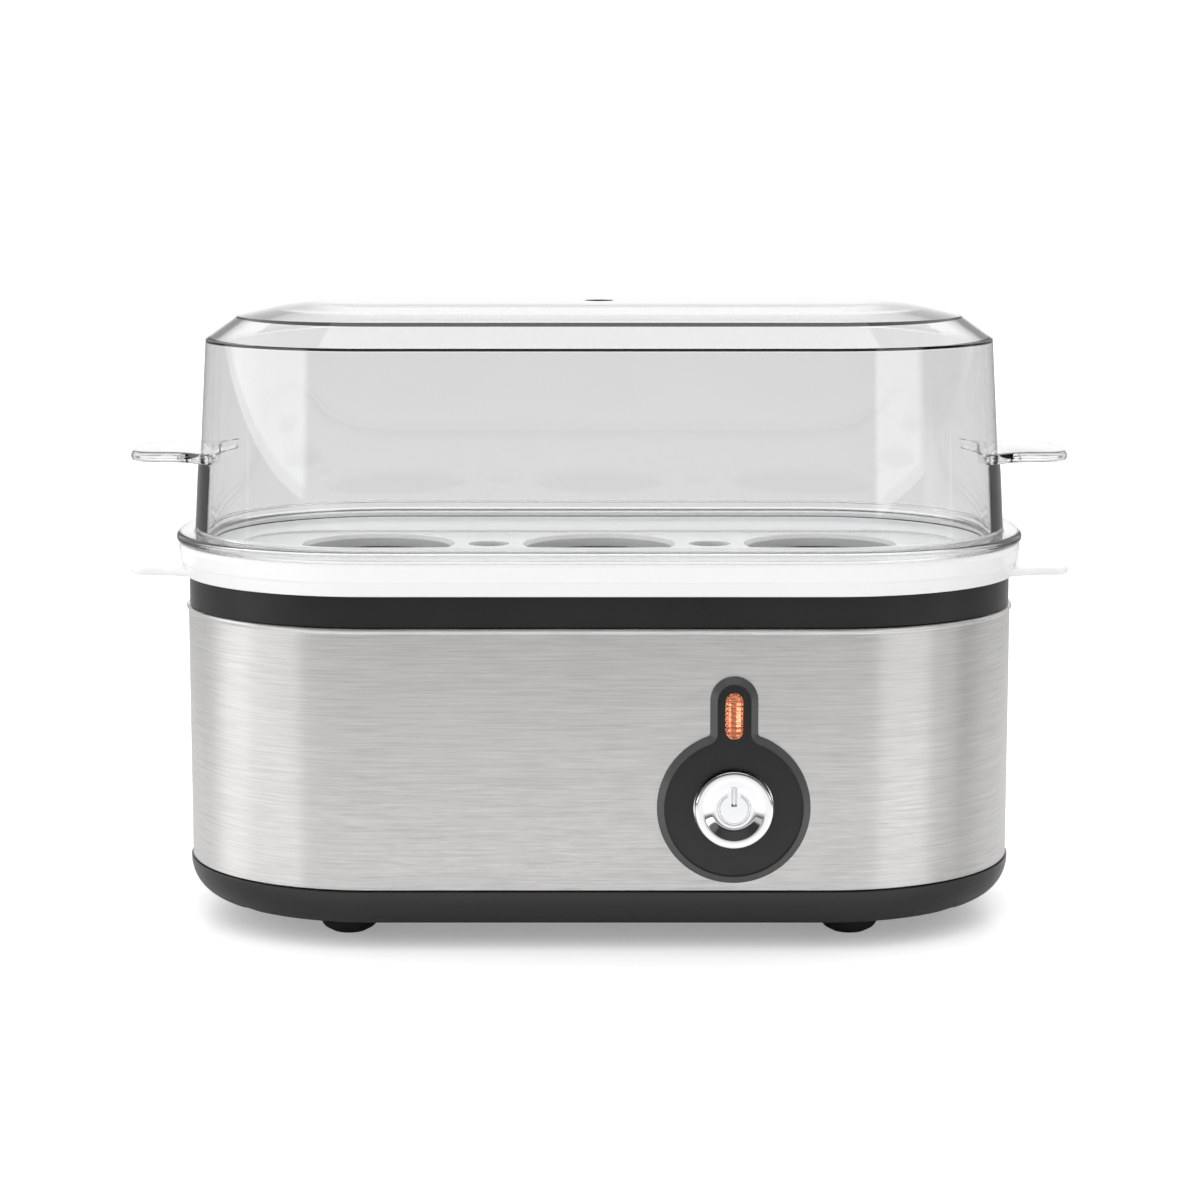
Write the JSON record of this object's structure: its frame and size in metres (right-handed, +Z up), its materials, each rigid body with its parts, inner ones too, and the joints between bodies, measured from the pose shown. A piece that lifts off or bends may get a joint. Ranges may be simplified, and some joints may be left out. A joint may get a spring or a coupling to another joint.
{
  "type": "egg cooker",
  "caption": "Countertop electric egg steamer with an oblong brushed-steel housing, dark plastic base and collar, white egg tray with side tabs, clear lift-off lid, chrome push button and lamp.",
  "frame": {"origin": "centre of the bounding box on the surface that the feet stand on", "axes": "+Z up, -Y out of the front with the push button, +X to the right as seen from the front, along the longest side"},
  "size_m": [0.208, 0.1002, 0.1368],
  "materials": {
    "dark_plastic": "fine satin moulding",
    "foot_rubber": "matt",
    "zinc_steel": "zinc plated",
    "label_aluminium": "satin, blank",
    "brushed_steel": "brushed along its length",
    "silicone": "matt",
    "pan_steel": "satin",
    "cast_aluminium": "cast",
    "element_steel": "heat tinted",
    "ceramic_white": "matt",
    "shield_steel": "mill finish",
    "phenolic": "moulded",
    "brass_parts": "bright",
    "sleeve_fabric": "woven glass fibre",
    "bezel_plastic": "satin gloss",
    "lens_clear": "clear, polished",
    "neon_glow": "lit neon",
    "natural_nylon": "moulded",
    "resistor_body": "lacquered",
    "chrome_button": "polished",
    "spring_steel": "bright",
    "sleeve_pvc": "soft",
    "wire_brown": "insulated",
    "wire_blue": "insulated",
    "wire_red": "insulated",
    "wire_white": "insulated",
    "wire_green": "insulated",
    "white_plastic": "glossy",
    "clear_plastic": "clear, polished"
  },
  "bodies": {
    "base": {"base_shell": "dark_plastic", "foot_front_left": "foot_rubber", "foot_front_right": "foot_rubber", "foot_rear_left": "foot_rubber", "foot_rear_right": "foot_rubber", "base_screws": "zinc_steel", "rating_plate": "label_aluminium", "sleeve_front": "brushed_steel", "sleeve_rear": "brushed_steel", "sleeve_left": "brushed_steel", "sleeve_right": "brushed_steel", "collar": "dark_plastic", "pan_seal": "silicone", "heating_pan": "pan_steel", "pan_studs": "zinc_steel", "pan_screws": "zinc_steel", "heater_plate": "cast_aluminium", "heating_element": "element_steel", "element_insulators": "ceramic_white", "heater_nuts": "zinc_steel", "shield_spacers": "zinc_steel", "heat_shield": "shield_steel", "shield_nuts": "zinc_steel", "thermostat_cap": "cast_aluminium", "thermostat_body": "phenolic", "thermostat_bracket": "brass_parts", "thermostat_nuts": "zinc_steel", "thermal_fuse": "ceramic_white", "fuse_sleeve": "sleeve_fabric", "fuse_clip": "zinc_steel", "fuse_screw": "zinc_steel", "control_bezel": "bezel_plastic", "bezel_ring": "zinc_steel", "indicator_lens": "lens_clear", "neon_lamp": "neon_glow", "lamp_holder": "natural_nylon", "lamp_resistor": "resistor_body", "switch_body": "phenolic", "switch_terminals": "brass_parts", "spade_sleeves": "sleeve_pvc", "terminal_block": "natural_nylon", "terminal_inserts": "brass_parts", "terminal_screws": "zinc_steel", "block_screws": "zinc_steel", "live_supply_lead": "wire_brown", "neutral_supply_lead": "wire_blue", "live_switched_lead": "wire_brown", "neutral_switched_lead": "wire_blue", "fuse_leads": "wire_red", "lamp_leads": "wire_white", "earth_lead": "wire_green", "earth_terminal": "brass_parts", "cord_gland": "foot_rubber"},
    "button": {"power_button": "chrome_button", "switch_plunger": "natural_nylon", "button_spring": "spring_steel"},
    "tray": {"egg_tray": "white_plastic"},
    "lid": {"lid": "clear_plastic"}
  },
  "joints": [
    {"name": "tray_lift", "type": "slide", "parent": "base", "child": "tray", "axis": [0, 0, 1], "range_m": [0, 0.06]},
    {"name": "lid_lift", "type": "slide", "parent": "tray", "child": "lid", "axis": [0, 0, 1], "range_m": [0, 0.12]},
    {"name": "button_press", "type": "slide", "parent": "base", "child": "button", "axis": [0, 1, 0], "range_m": [0, 0.0025], "stiffness_N_per_m": 600, "deforming": ["button_spring"]}
  ]
}
